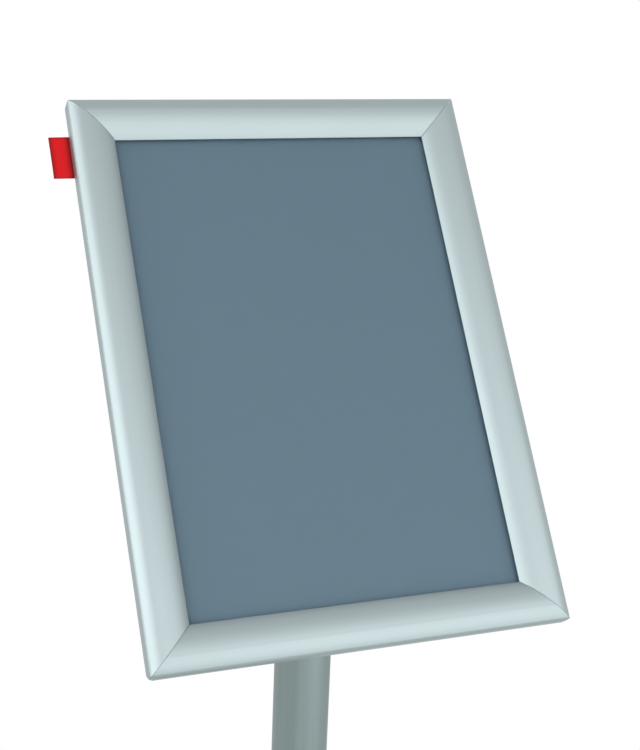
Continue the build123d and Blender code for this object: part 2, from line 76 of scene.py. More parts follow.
def linear(hex_colour):
    """A colour written as sRGB hex, as Blender's linear red, green, blue and alpha."""
    channels = [int(hex_colour[i:i + 2], 16) / 255 for i in (1, 3, 5)]
    return [c / 12.92 if c <= 0.04045 else ((c + 0.055) / 1.055) ** 2.4 for c in channels] + [1.0]


def joint(name):
    """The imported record's entry for one joint."""
    return next(entry for entry in frame["joints"] if entry["name"] == name)


def middle(node):
    """Centre of a CAD node's box."""
    low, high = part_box(node)
    return (low + high) / 2


# The snap frame's own directions and place, as it leans on the post

ACROSS = Vector((1, 0, 0))
FACING = Vector(joint("head_swivel")["axis"]).normalized()
UPWARD = FACING.cross(ACROSS)
FRAME_TURN = Matrix((ACROSS, UPWARD, FACING)).transposed()
LEAN = math.atan2(UPWARD.z, UPWARD.y)
PANEL_CENTRE = middle("back_panel")

# Turns of a pattern: along the leaning frame, or straight up as the post stands
ALONG_FRAME = (-LEAN, 0, 0)
UNTURNED = (0, 0, 0)


# Sizes and colours that a user would change


class RailSettings(bpy.types.PropertyGroup):
    """Anodised rails of the frame."""
    colour: FloatVectorProperty(
        name="Rail Colour", description="Colour of the anodised rails", subtype="COLOR", size=4,
        min=0, max=1, default=linear("#9DA9AB"))
    roughness: FloatProperty(
        name="Rail Roughness", description="How satin the anodising is", subtype="FACTOR",
        min=0, max=1, default=0.47)
    line_spacing: FloatProperty(
        name="Die Line Spacing", description="Distance between the fine lines that the die leaves",
        unit="LENGTH", min=0.0001, default=0.9 * MM)
    line_contrast: FloatProperty(
        name="Die Line Contrast", description="How much lighter and darker the lines are",
        subtype="FACTOR", min=0, max=1, default=0.025)


class PostSettings(bpy.types.PropertyGroup):
    """Anodised tube of the post."""
    colour: FloatVectorProperty(
        name="Post Colour", description="Colour of the anodised post", subtype="COLOR", size=4,
        min=0, max=1, default=linear("#808E8E"))
    # The tube's broad lighter and darker streaks are painted reflections, drawn in its colour
    painted_reflection_spacing: FloatProperty(
        name="Streak Spacing", description="Distance between the broad streaks along the tube",
        unit="LENGTH", min=0.0001, default=6 * MM)
    painted_reflection_contrast: FloatProperty(
        name="Streak Contrast", description="How much lighter and darker the streaks are",
        subtype="FACTOR", min=0, max=1, default=0.17)


class PaintSettings(bpy.types.PropertyGroup):
    """Powder coat of the foot and of the fittings behind the frame."""
    foot_colour: FloatVectorProperty(
        name="Foot Colour", description="Colour of the foot and its collar", subtype="COLOR", size=4,
        min=0, max=1, default=linear("#A3AAAD"))
    bracket_colour: FloatVectorProperty(
        name="Bracket Colour", description="Colour of the tilt bracket and the crossbar",
        subtype="COLOR", size=4, min=0, max=1, default=linear("#8D9496"))


class SheetSettings(bpy.types.PropertyGroup):
    """Card and the clear sheet over it."""
    card_colour: FloatVectorProperty(
        name="Card Colour", description="Colour of the plain card in the frame", subtype="COLOR",
        size=4, min=0, max=1, default=linear("#637C8B"))
    veil: FloatProperty(
        name="Sheet Veil", description="How much the clear sheet's matt surface hides of the card",
        subtype="FACTOR", min=0, max=1, default=0.10)
    air: FloatProperty(
        name="Air Under Sheet", description="Gap between the card and the clear sheet", unit="LENGTH",
        min=0, default=0.12 * MM)


class RibbonSettings(bpy.types.PropertyGroup):
    """Folded ribbon tab."""
    colour: FloatVectorProperty(
        name="Ribbon Colour", description="Colour of the ribbon's yarn", subtype="COLOR", size=4,
        min=0, max=1, default=linear("#E4161E"))
    thickness: FloatProperty(
        name="Ribbon Thickness", description="Thickness of one layer of ribbon", unit="LENGTH",
        min=0.0001, default=0.32 * MM)
    yarn_spacing: FloatProperty(
        name="Yarn Spacing", description="Distance between two yarns of the weave", unit="LENGTH",
        min=0.0001, default=0.55 * MM)
    rise: FloatProperty(
        name="Free End Rise", description="How far the ribbon's free end waves up and down",
        unit="LENGTH", min=0, default=0.25 * MM)
    # The ribbon's darker ends are painted shade: at its fold, and where the rail shades it
    shade_reach: FloatProperty(
        name="Shade Reach", description="How far the ribbon darkens from its fold and from the rail",
        unit="LENGTH", min=0.0001, default=3.5 * MM)


class ThreadSettings(bpy.types.PropertyGroup):
    """Bolt ends that stand out of their nuts."""
    bolt_radius: FloatProperty(
        name="Bolt Radius", description="Radius of the bolt over its thread", unit="LENGTH",
        min=0.001, default=4 * MM)
    pitch: FloatProperty(
        name="Thread Pitch", description="Rise of the thread in one turn", unit="LENGTH",
        min=0.0002, default=1.25 * MM)
    ridge: FloatProperty(
        name="Thread Ridge", description="Radius of the ridge that stands for the thread's crest",
        unit="LENGTH", min=0.00005, default=0.45 * MM)
    sink: FloatProperty(
        name="Ridge Sink", description="How deep the ridge's middle lies in the bolt", unit="LENGTH",
        min=0, default=0.18 * MM)
    length: FloatProperty(
        name="Threaded Length", description="Length of thread that shows past the nut",
        unit="LENGTH", min=0.0001, default=1.2 * MM)
    end_gap: FloatProperty(
        name="Plain End", description="Length of plain bolt past the thread", unit="LENGTH",
        min=0, default=0.15 * MM)
    facets: IntProperty(
        name="Facets per Turn", description="Straight pieces in one turn of the thread", min=8,
        max=64, default=28)


class StageSettings(bpy.types.PropertyGroup):
    """Floor, lamps and camera."""
    floor_radius: FloatProperty(
        name="Floor Radius", description="Radius of the round floor", unit="LENGTH", min=1,
        default=14)
    ambient: FloatProperty(
        name="Ambient Light", description="Strength of the even light from all sides", min=0,
        default=0.35)
    side_power: FloatProperty(
        name="Side Lamp Power", description="Power of the large lamp on the left", unit="POWER",
        min=0, default=19)
    front_power: FloatProperty(
        name="Front Lamp Power", description="Power of the lamp in front, to the right of the camera",
        unit="POWER", min=0, default=11.5)
    top_power: FloatProperty(
        name="Top Lamp Power", description="Power of the lamp over the camera", unit="POWER", min=0,
        default=1.3)
    back_power: FloatProperty(
        name="Back Lamp Power", description="Power of the lamp behind the stand", unit="POWER",
        min=0, default=7)
    lens: FloatProperty(
        name="Lens", description="Focal length on a 36 mm sensor, in millimetres",
        subtype="DISTANCE_CAMERA", min=1, default=71.513)


# Node helpers

# Numbers of a colour Mix node's three inputs and its output
MIX_FACTOR = 0
MIX_FIRST = 6
MIX_SECOND = 7
MIX_COLOUR = 2


def add(tree, kind, settings=None, links=None):
    """Adds one node. settings are its properties or, with a leading dot, its inputs' values.

    An input whose name repeats goes by its number, in settings and in links.
    """
    made = tree.nodes.new(kind)
    for name, value in (settings or {}).items():
        if isinstance(name, int):
            made.inputs[name].default_value = value
        elif name.startswith("."):
            made.inputs[name[1:]].default_value = value
        else:
            setattr(made, name, value)
    for name, source in (links or {}).items():
        tree.links.new(source, made.inputs[name])
    return made


def new_material(name):
    """An empty material with its shader and output joined, and its tree."""
    material = bpy.data.materials.new(name)
    material.use_nodes = True
    tree = material.node_tree
    tree.nodes.clear()
    shader = add(tree, "ShaderNodeBsdfPrincipled")
    add(tree, "ShaderNodeOutputMaterial", links={"Surface": shader.outputs["BSDF"]})
    return material, tree, shader


def pattern_space(tree, turn, sizes):
    """Object coordinates, turned into the piece's own directions, in units of a pattern's sizes."""
    place = add(tree, "ShaderNodeTexCoord")
    turned = add(tree, "ShaderNodeMapping", {".Rotation": turn}, {"Vector": place.outputs["Object"]})
    return add(
        tree, "ShaderNodeMapping", {".Scale": [1 / size for size in sizes]},
        {"Vector": turned.outputs["Vector"]}).outputs["Vector"]


def tone(colour, gain):
    """The same colour, lighter or darker."""
    return [min(1.0, channel * gain) for channel in colour[:3]] + [1.0]


def mottle(tree, shader, pattern, colour, darkest, lightest):
    """Colours a surface by a pattern from 0 to 1, between two gains of one colour."""
    mix = add(
        tree, "ShaderNodeMix",
        {"data_type": "RGBA", MIX_FIRST: tone(colour, darkest), MIX_SECOND: tone(colour, lightest)},
        {MIX_FACTOR: pattern})
    tree.links.new(mix.outputs[MIX_COLOUR], shader.inputs["Base Color"])


# Materials


def anodised_extrusion(name, along, turn, colour, roughness, line_spacing, contrast):
    """Satin anodised aluminium, extruded: straight lines along the bar, and a soft sheen.

    along is the bar's direction (0, 1 or 2) in its own turned space. On the rails the lines are
    die lines, about 0.1 mm apart, finer than a pixel, so they are drawn at line_spacing, coarse
    enough to show up close. On the post they are drawn broad and strong, as painted reflection
    streaks. contrast is how much lighter and darker the lines are than the colour.
    """
    line_length = 350 * MM
    patch_size = 70 * MM
    uneven_roughness = 0.03
    material, tree, shader = new_material(name)
    line_sizes = [line_spacing] * 3
    line_sizes[along] = line_length
    lines = add(
        tree, "ShaderNodeTexNoise", {".Scale": 1.0, ".Detail": 3.0, ".Roughness": 0.6},
        {"Vector": pattern_space(tree, turn, line_sizes)})
    broad = add(
        tree, "ShaderNodeTexNoise", {".Scale": 1.0, ".Detail": 1.0},
        {"Vector": pattern_space(tree, turn, [patch_size] * 3)})
    mottle(tree, shader, lines.outputs["Fac"], colour, 1 - contrast, 1 + contrast)
    uneven = add(
        tree, "ShaderNodeMapRange",
        {".To Min": roughness - uneven_roughness, ".To Max": roughness + uneven_roughness},
        {"Value": broad.outputs["Fac"]})
    tree.links.new(uneven.outputs["Result"], shader.inputs["Roughness"])
    worn_edge = add(tree, "ShaderNodeBevel", {"samples": 4, ".Radius": 0.25 * MM})
    relief = add(
        tree, "ShaderNodeBump", {".Strength": 0.03, ".Distance": 0.05 * MM},
        {"Height": lines.outputs["Fac"], "Normal": worn_edge.outputs["Normal"]})
    tree.links.new(relief.outputs["Normal"], shader.inputs["Normal"])
    shader.inputs["Metallic"].default_value = 1.0
    return material


def uncoated_card(colour):
    """Matt paper card: barely mottled by its fibres, no gloss of its own.

    The fibres are a tenth of a millimetre wide, so the mottle they make is drawn about 1.4 mm wide.
    """
    mottle_size = 1.4 * MM
    material, tree, shader = new_material("card_slate_uncoated")
    fibres = add(
        tree, "ShaderNodeTexNoise", {".Scale": 1.0, ".Detail": 6.0, ".Roughness": 0.7},
        {"Vector": pattern_space(tree, ALONG_FRAME, [mottle_size] * 3)})
    mottle(tree, shader, fibres.outputs["Fac"], colour, 0.97, 1.03)
    relief = add(
        tree, "ShaderNodeBump", {".Strength": 0.05, ".Distance": 0.02 * MM},
        {"Height": fibres.outputs["Fac"]})
    tree.links.new(relief.outputs["Normal"], shader.inputs["Normal"])
    shader.inputs["Roughness"].default_value = 0.85
    return material


def antiglare_sheet(veil, card_colour):
    """Clear polyester with a matt front: the card shows through under a thin pale veil.

    The real grain is under 0.1 mm and is drawn 0.7 mm wide, the finest that shows up close.
    """
    grain_size = 0.7 * MM
    material, tree, shader = new_material("polyester_antiglare")
    grain = add(
        tree, "ShaderNodeTexNoise", {".Scale": 1.0, ".Detail": 2.0},
        {"Vector": pattern_space(tree, ALONG_FRAME, [grain_size] * 3)})
    relief = add(
        tree, "ShaderNodeBump", {".Strength": 0.06, ".Distance": 0.01 * MM},
        {"Height": grain.outputs["Fac"]})
    tree.links.new(relief.outputs["Normal"], shader.inputs["Normal"])
    mottle(tree, shader, grain.outputs["Fac"], card_colour, 1.02, 1.1)
    shader.inputs["Roughness"].default_value = 0.38
    shader.inputs["IOR"].default_value = 1.57
    shader.inputs["Alpha"].default_value = veil
    return material


def woven_ribbon(colour, yarn_spacing):
    """Woven polyester ribbon: plain weave of matt yarn, painted shade at the fold and by the rail.

    The weave follows the ribbon's own map, in metres. Its yarns are about 0.25 mm apart and are
    drawn at yarn_spacing, so that they show. The darker ends are painted shade, which follows the
    ribbon's crease values.
    """
    material, tree, shader = new_material("ribbon_woven_polyester")
    mapped = add(tree, "ShaderNodeUVMap", {"uv_map": "weave"})
    yarns = add(
        tree, "ShaderNodeMapping", {".Scale": (1 / yarn_spacing, 1 / yarn_spacing, 1)},
        {"Vector": mapped.outputs["UV"]})
    crossing = add(
        tree, "ShaderNodeTexChecker", {".Scale": 1.0}, {"Vector": yarns.outputs["Vector"]})
    strands = add(
        tree, "ShaderNodeTexWave", {"bands_direction": "Y", ".Scale": 0.5, ".Distortion": 0.3},
        {"Vector": yarns.outputs["Vector"]})
    height = add(
        tree, "ShaderNodeMath", {"operation": "MULTIPLY"},
        {0: crossing.outputs["Fac"], 1: strands.outputs["Fac"]})
    yarn = add(
        tree, "ShaderNodeMix",
        {"data_type": "RGBA", MIX_FIRST: tone(colour, 0.93), MIX_SECOND: tone(colour, 1.04)},
        {MIX_FACTOR: height.outputs["Value"]})
    # Painted shade: the ribbon's colour darkens towards black at its fold and by the rail
    crease = add(tree, "ShaderNodeAttribute", {"attribute_name": "crease"})
    shaded = add(
        tree, "ShaderNodeMix", {"data_type": "RGBA", MIX_SECOND: BLACK},
        {MIX_FACTOR: crease.outputs["Fac"], MIX_FIRST: yarn.outputs[MIX_COLOUR]})
    tree.links.new(shaded.outputs[MIX_COLOUR], shader.inputs["Base Color"])
    relief = add(
        tree, "ShaderNodeBump", {".Strength": 0.35, ".Distance": 0.08 * MM},
        {"Height": height.outputs["Value"]})
    tree.links.new(relief.outputs["Normal"], shader.inputs["Normal"])
    shader.inputs["Roughness"].default_value = 0.6
    shader.inputs["Specular IOR Level"].default_value = 0.2
    shader.inputs["Sheen Weight"].default_value = 0.04
    shader.inputs["Sheen Roughness"].default_value = 0.4
    return material


def powder_coat(name, colour, roughness):
    """Sprayed and baked powder on steel: an orange peel of about 1.1 mm, and a soft gloss."""
    peel_size = 1.1 * MM
    material, tree, shader = new_material(name)
    peel = add(
        tree, "ShaderNodeTexNoise", {".Scale": 1.0, ".Detail": 2.0},
        {"Vector": pattern_space(tree, UNTURNED, [peel_size] * 3)})
    mottle(tree, shader, peel.outputs["Fac"], colour, 0.97, 1.03)
    relief = add(
        tree, "ShaderNodeBump", {".Strength": 0.25, ".Distance": 0.05 * MM},
        {"Height": peel.outputs["Fac"]})
    tree.links.new(relief.outputs["Normal"], shader.inputs["Normal"])
    shader.inputs["Roughness"].default_value = roughness
    shader.inputs["IOR"].default_value = 1.5
    return material


def cloudy_steel(name, colour, roughness):
    """Bright steel, zinc plated, drawn or stamped: its gloss goes cloudy every 3 mm or so."""
    cloud_size = 3 * MM
    material, tree, shader = new_material(name)
    cloud = add(
        tree, "ShaderNodeTexNoise", {".Scale": 1.0, ".Detail": 4.0},
        {"Vector": pattern_space(tree, UNTURNED, [cloud_size] * 3)})
    mottle(tree, shader, cloud.outputs["Fac"], colour, 0.9, 1.08)
    uneven = add(
        tree, "ShaderNodeMapRange", {".To Min": roughness - 0.06, ".To Max": roughness + 0.08},
        {"Value": cloud.outputs["Fac"]})
    tree.links.new(uneven.outputs["Result"], shader.inputs["Roughness"])
    shader.inputs["Metallic"].default_value = 1.0
    return material


def moulded_surface(name, colour, roughness, grain_size):
    """Moulded plastic or rubber: the fine grain of a spark-eroded mould, which kills the gloss.

    A real mould's grain is about 0.1 mm and is drawn at grain_size, so that it shows up close.
    """
    material, tree, shader = new_material(name)
    grain = add(
        tree, "ShaderNodeTexNoise", {".Scale": 1.0, ".Detail": 3.0},
        {"Vector": pattern_space(tree, UNTURNED, [grain_size] * 3)})
    mottle(tree, shader, grain.outputs["Fac"], colour, 0.93, 1.07)
    relief = add(
        tree, "ShaderNodeBump", {".Strength": 0.3, ".Distance": 0.04 * MM},
        {"Height": grain.outputs["Fac"]})
    tree.links.new(relief.outputs["Normal"], shader.inputs["Normal"])
    shader.inputs["Roughness"].default_value = roughness
    shader.inputs["IOR"].default_value = 1.5
    return material


# Pieces


def dress(material, *names):
    """Gives CAD nodes a finish."""
    for name in names:
        frame["nodes"][name].material_slots[0].material = material


def new_piece(name, mesh, material):
    """A finished piece's object, at the origin, in the scene."""
    piece = bpy.data.objects.new(name, mesh)
    bpy.context.scene.collection.objects.link(piece)
    mesh.materials.clear()
    mesh.materials.append(material)
    return piece


def ribbon_line(reach, hidden, gap):
    """The folded strip seen from its edge: out from behind the rail, round its fold and back."""
    straight = 48
    bend = 12
    radius = gap / 2
    fold_start = radius - reach
    line = [Vector((hidden + (fold_start - hidden) * i / straight, 0, 0)) for i in range(straight + 1)]
    way_back = [Vector((place.x, 0, -gap)) for place in reversed(line)]
    fold = line[-1] + Vector((0, 0, -radius))
    for i in range(1, bend):
        angle = math.pi / 2 + math.pi * i / bend
        line.append(fold + Vector((math.cos(angle), 0, math.sin(angle))) * radius)
    return line + way_back


def ribbon_mesh(width, reach, hidden, gap, rise, fade):
    """Open sheet of one folded strip, in metres, with its own map for the weave, and its length.

    Its place is across the frame as x, 0 at the rail's edge, along the frame as y and out of the
    front as z. Its crease values rise over the length fade towards the fold and the rail:
    painted shade at the fold, and painted shadow of the rail.
    """
    columns = 12
    wave = 1.3 * math.pi
    wave_start = 0.4
    # Painted shade towards the fold, and painted shadow of the rail on the front layer
    fold_shade = 0.66
    rail_shade = 0.7
    shade_power = 1.7
    line = ribbon_line(reach, hidden, gap)
    lengths = [0.0]
    for a, b in zip(line, line[1:]):
        lengths.append(lengths[-1] + (b - a).length)
    mesh = bmesh.new()
    weave = mesh.loops.layers.uv.new("weave")
    crease = mesh.verts.layers.float.new("crease")
    rows = []
    for place in line:
        outside = max(0.0, -place.x) / reach
        by_fold = max(0.0, 1 - (place.x + reach) / fade) ** shade_power
        in_front = place.z > -gap / 2
        by_rail = min(1.0, max(0.0, 1 + place.x / fade)) ** shade_power if in_front else 0.0
        row = []
        for column in range(columns + 1):
            across = column / columns
            sway = rise * outside ** 2 * math.sin(across * wave + wave_start)
            corner = mesh.verts.new((place.x, (across - 0.5) * width, place.z + sway))
            corner[crease] = fold_shade * by_fold + rail_shade * by_rail
            row.append(corner)
        rows.append(row)
    for r in range(len(rows) - 1):
        for c in range(columns):
            corners = ((r, c), (r + 1, c), (r + 1, c + 1), (r, c + 1))
            face = mesh.faces.new([rows[i][j] for i, j in corners])
            face.smooth = True
            for loop, (i, j) in zip(face.loops, corners):
                loop[weave].uv = (lengths[i], width * j / columns)
    made = bpy.data.meshes.new("side_tab_ribbon")
    mesh.to_mesh(made)
    mesh.free()
    return made, lengths[-1]


def thread_tree(material):
    """Node tree of a thread's ridge: a spiral with a three-sided profile swept along it."""
    tree = bpy.data.node_groups.new("Thread Ridge", "GeometryNodeTree")
    face = tree.interface
    face.new_socket("Geometry", in_out="INPUT", socket_type="NodeSocketGeometry")
    for label in ("Radius", "Length", "Turns", "Ridge"):
        face.new_socket(label, in_out="INPUT", socket_type="NodeSocketFloat")
    face.new_socket("Facets", in_out="INPUT", socket_type="NodeSocketInt")
    face.new_socket("Geometry", in_out="OUTPUT", socket_type="NodeSocketGeometry")
    given = add(tree, "NodeGroupInput").outputs
    spiral = add(
        tree, "GeometryNodeCurveSpiral", None,
        {"Resolution": given["Facets"], "Rotations": given["Turns"], "Start Radius": given["Radius"],
         "End Radius": given["Radius"], "Height": given["Length"]})
    ridge = add(
        tree, "GeometryNodeCurvePrimitiveCircle", {".Resolution": 3}, {"Radius": given["Ridge"]})
    swept = add(
        tree, "GeometryNodeCurveToMesh", {".Fill Caps": True},
        {"Curve": spiral.outputs["Curve"], "Profile Curve": ridge.outputs["Curve"]})
    real = add(tree, "GeometryNodeRealizeInstances", None, {"Geometry": swept.outputs["Mesh"]})
    coated = add(
        tree, "GeometryNodeSetMaterial", {".Material": material}, {"Geometry": real.outputs["Geometry"]})
    add(tree, "NodeGroupOutput", None, {"Geometry": coated.outputs["Geometry"]})
    return tree


def grown_mesh(name, tree, values):
    """Plain mesh that a node tree grows from nothing, with its inputs set by name."""
    seed = bpy.data.objects.new(name, bpy.data.meshes.new(name))
    bpy.context.scene.collection.objects.link(seed)
    grower = seed.modifiers.new("Grow", "NODES")
    grower.node_group = tree
    sockets = {s.name: s.identifier for s in tree.interface.items_tree if s.in_out == "INPUT"}
    for label, value in values.items():
        grower[sockets[label]] = value
    seen = seed.evaluated_get(bpy.context.evaluated_depsgraph_get())
    mesh = bpy.data.meshes.new_from_object(seen)
    bpy.data.objects.remove(seed)
    if not mesh.polygons:
        raise RuntimeError(f"{name} has no faces")
    return mesh


class FinishRails(bpy.types.Operator):
    """Gives the frame's cover and base rails their anodised finish."""
    bl_idname = "snapframe.finish_rails"
    bl_label = "Finish Rails"

    def execute(self, context):
        rail = context.scene.rail_settings
        look = (rail.colour, rail.roughness, rail.line_spacing, rail.line_contrast)
        level = anodised_extrusion("anodised_aluminium_level_rail", 0, ALONG_FRAME, *look)
        upright = anodised_extrusion("anodised_aluminium_upright_rail", 1, ALONG_FRAME, *look)
        for side in SIDES:
            finish = level if side in ("top", "bottom") else upright
            dress(finish, f"cover_rail_{side}", f"base_rail_{side}")
        return {"FINISHED"}


class FinishSheets(bpy.types.Operator):
    """Gives the card, the clear sheet over it and the backing their finishes."""
    bl_idname = "snapframe.finish_sheets"
    bl_label = "Finish Sheets"

    def film(self, air, material):
        """The clear sheet with its back held off the card, so that the two faces don't coincide."""
        mesh = bmesh.new()
        mesh.from_mesh(frame["nodes"]["cover_sheet"].data)
        bmesh.ops.remove_doubles(mesh, verts=mesh.verts, dist=0.001 * MM)
        depths = [v.co.dot(FACING) for v in mesh.verts]
        if air >= max(depths) - min(depths):
            raise ValueError("the air under the clear sheet is thicker than the sheet")
        halfway = (min(depths) + max(depths)) / 2
        for vertex, depth in zip(mesh.verts, depths):
            if depth < halfway:
                vertex.co += FACING * air
        bmesh.ops.recalc_face_normals(mesh, faces=mesh.faces)
        made = bpy.data.meshes.new("cover_film")
        mesh.to_mesh(made)
        mesh.free()
        piece = new_piece("cover_film", made, material)
        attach(piece, "frame")
        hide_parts("cover_sheet")

    def execute(self, context):
        sheets = context.scene.sheet_settings
        dress(uncoated_card(sheets.card_colour), "insert_sheet")
        self.film(sheets.air, antiglare_sheet(sheets.veil, sheets.card_colour))
        backing = moulded_surface(
            "polystyrene_backing", linear("#D9DAD8"), roughness=0.6, grain_size=0.6 * MM)
        dress(backing, "back_panel")
        return {"FINISHED"}


class FinishPost(bpy.types.Operator):
    """Gives the post, its head, its collar and the foot their finishes."""
    bl_idname = "snapframe.finish_post"
    bl_label = "Finish Post and Foot"

    def execute(self, context):
        rail = context.scene.rail_settings
        post = context.scene.post_settings
        paint = context.scene.paint_settings
        # On the post the lines are broad, strong streaks: painted reflections along the tube
        tube = anodised_extrusion(
            "anodised_aluminium_post", 2, UNTURNED, post.colour, rail.roughness, post.painted_reflection_spacing,
            post.painted_reflection_contrast)
        dress(tube, "post_tube", "foot_plug")
        head = moulded_surface("polyamide_black", linear("#26282A"), roughness=0.5, grain_size=0.5 * MM)
        dress(head, "post_head")
        coat = powder_coat("powder_coat_foot", paint.foot_colour, roughness=0.42)
        dress(coat, "foot_plate", "foot_collar")
        rubber = moulded_surface("rubber_pad", linear("#1B1B1C"), roughness=0.8, grain_size=0.4 * MM)
        dress(rubber, "foot_pads")
        return {"FINISHED"}


class FinishFittings(bpy.types.Operator):
    """Gives the bracket, crossbar, springs, keys and fasteners their finishes."""
    bl_idname = "snapframe.finish_fittings"
    bl_label = "Finish Fittings"

    def execute(self, context):
        paint = context.scene.paint_settings
        coat = powder_coat("powder_coat_bracket", paint.bracket_colour, roughness=0.45)
        dress(coat, "tilt_bracket", "crossbar")
        plated = cloudy_steel("zinc_plated_steel", linear("#9A9E9F"), roughness=0.30)
        dress(
            plated, "foot_bolt", "foot_washer", "plug_screws", "tilt_bolt", "tilt_washers", "tilt_nut",
            "pivot_stud", "stop_pin", "swivel_washers", "swivel_nut", "crossbar_screws", "crossbar_nuts",
            "key_screws")
        stamped = cloudy_steel("plain_steel_key", linear("#7D8081"), roughness=0.36)
        dress(stamped, "corner_keys")
        strip = cloudy_steel("spring_steel_strip", linear("#77797C"), roughness=0.28)
        dress(strip, *[f"snap_springs_{side}" for side in SIDES])
        return {"FINISHED"}


class MakeRibbonTab(bpy.types.Operator):
    """Makes the folded ribbon tab behind the left rail."""
    bl_idname = "snapframe.make_ribbon_tab"
    bl_label = "Make Ribbon Tab"

    def execute(self, context):
        ribbon = context.scene.ribbon_settings
        low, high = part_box("side_tab")
        rail_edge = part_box("cover_rail_left")[0].x
        to_frame = FRAME_TURN.inverted()
        turned = [to_frame @ v.co for v in frame["nodes"]["side_tab"].data.vertices]
        width = max(p.y for p in turned) - min(p.y for p in turned)
        front = max(p.z for p in turned)
        gap = front - min(p.z for p in turned) - ribbon.thickness
        reach = rail_edge - low.x
        hidden = high.x - rail_edge
        if min(gap, reach, hidden) <= 0:
            raise ValueError("the tab's solid leaves no room for a folded ribbon")
        mesh, strip_length = ribbon_mesh(width, reach, hidden, gap, ribbon.rise, ribbon.shade_reach)
        start = Vector((rail_edge, (to_frame @ middle("side_tab")).y, front - ribbon.thickness / 2))
        mesh.transform(FRAME_TURN.to_4x4() @ Matrix.Translation(start))
        piece = new_piece("side_tab_ribbon", mesh, woven_ribbon(ribbon.colour, ribbon.yarn_spacing))
        layer = piece.modifiers.new("Layer", "SOLIDIFY")
        layer.thickness = ribbon.thickness
        layer.offset = 0
        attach(piece, "frame")
        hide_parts("side_tab")
        return {"FINISHED"}


class CutThreads(bpy.types.Operator):
    """Grows the threads on the bolt ends that stand out of the lock nuts."""
    bl_idname = "snapframe.cut_threads"
    bl_label = "Cut Threads"

    def execute(self, context):
        thread = context.scene.thread_settings
        plated = frame["nodes"]["tilt_bolt"].material_slots[0].material
        tree = thread_tree(plated)
        values = {
            "Radius": thread.bolt_radius - thread.sink, "Length": thread.length,
            "Turns": thread.length / thread.pitch, "Ridge": thread.ridge, "Facets": thread.facets}
        bolt_end = Vector((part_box("tilt_bolt")[0].x, *middle("tilt_bolt").yz))
        stud_points = [v.co for v in frame["nodes"]["pivot_stud"].data.vertices]
        stud_depth = max((PANEL_CENTRE - p).dot(FACING) for p in stud_points)
        stud_end = PANEL_CENTRE - FACING * stud_depth
        for name, end, outward, body in (
            ("tilt_bolt_thread", bolt_end, -ACROSS, "bracket"),
            ("pivot_stud_thread", stud_end, -FACING, "frame"),
        ):
            mesh = grown_mesh(name, tree, values)
            turn = outward.to_track_quat("Z", "Y").to_matrix().to_4x4()
            start = end - outward * (thread.length + thread.end_gap)
            mesh.transform(Matrix.Translation(start) @ turn)
            piece = new_piece(name, mesh, plated)
            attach(piece, body)
        return {"FINISHED"}


# Stage

# Each lamp's place from the middle of the frame's panel, its width and its height
LAMPS = {
    "side": ((-1.38, -0.45, 0.62), 2.1, 1.5),
    "front": ((0.46, -1.0, 0.06), 2.1, 1.6),
    "top": ((0.1, -0.95, 1.1), 0.9, 0.6),
    "back": ((-0.5, 1.35, -0.35), 1.6, 1.2),
}

# Product view: the camera's place from the middle of the panel, and the ways its back and top face
CAMERA_PLACE = (-0.28906, -0.75232, 0.23213)
CAMERA_BACKWARD = (-0.35145, -0.8906, 0.28864)
CAMERA_UPWARD = (0.06842, 0.28305, 0.95666)
CAMERA_SHIFT = (-0.0074, 0.0075)
SENSOR_WIDTH = 36

# The floor's own shading gives way to plain white between these distances from the post
FLOOR_FADE_START = 0.35
FLOOR_FADE_END = 1.3
FLOOR_LEAST_WHITE = 0.7


def studio_rays(tree):
    """1 for what the camera, gloss and clear pieces see, and 0 for the light that falls on things."""
    path = add(tree, "ShaderNodeLightPath")
    seen = add(
        tree, "ShaderNodeMath", {"operation": "MAXIMUM"},
        {0: path.outputs["Is Camera Ray"], 1: path.outputs["Is Glossy Ray"]})
    return add(
        tree, "ShaderNodeMath", {"operation": "MAXIMUM"},
        {0: seen.outputs["Value"], 1: path.outputs["Is Transmission Ray"]}).outputs["Value"]


